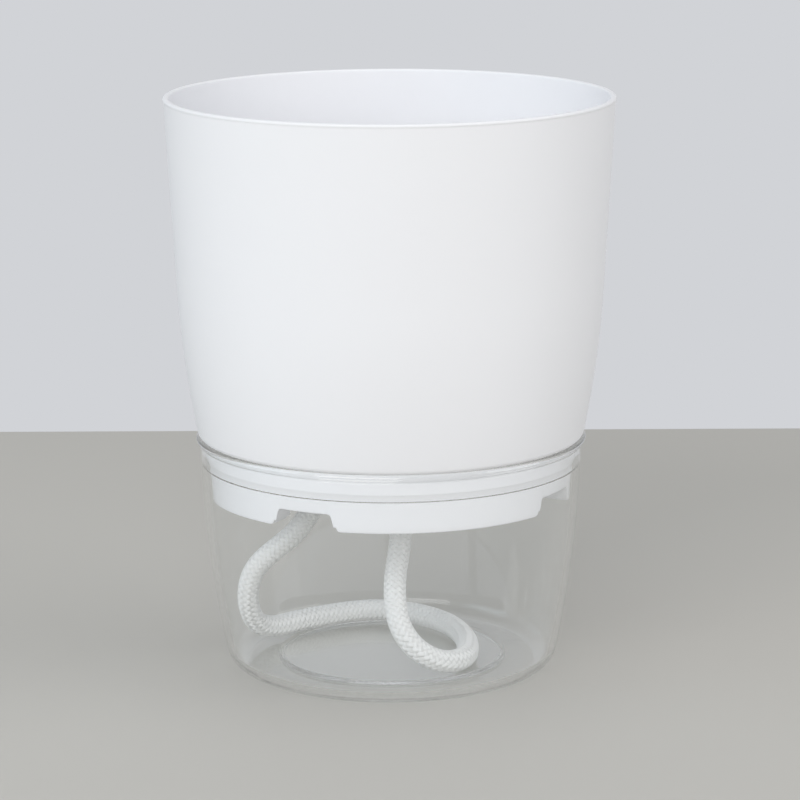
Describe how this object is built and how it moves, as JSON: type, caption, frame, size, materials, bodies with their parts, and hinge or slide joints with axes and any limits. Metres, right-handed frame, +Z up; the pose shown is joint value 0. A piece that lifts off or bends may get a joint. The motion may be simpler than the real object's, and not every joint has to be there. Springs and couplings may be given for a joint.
{
  "type": "self-watering pot",
  "caption": "Self-watering plant pot: a white planting pot with a notched skirt lifts out of a clear water reservoir, with a braided cotton wick hanging from its floor.",
  "frame": {"origin": "on the standing surface, under the middle of the reservoir's foot", "axes": "+Z up along the pot's axis, -Y towards the viewer of the picture, +X to the viewer's right"},
  "size_m": [0.105, 0.105, 0.136],
  "materials": {
    "clear_plastic": "clear, polished, with a faint green tint in its edges",
    "white_plastic": "smooth satin white",
    "cotton": "undyed braided cotton cord"
  },
  "bodies": {
    "reservoir": {"reservoir": "clear_plastic"},
    "pot": {"pot": "white_plastic", "wick": "cotton"}
  },
  "joints": [
    {"name": "pot_lift", "type": "slide", "parent": "reservoir", "child": "pot", "axis": [0, 0, 1], "range_m": [0, 0.07]}
  ]
}
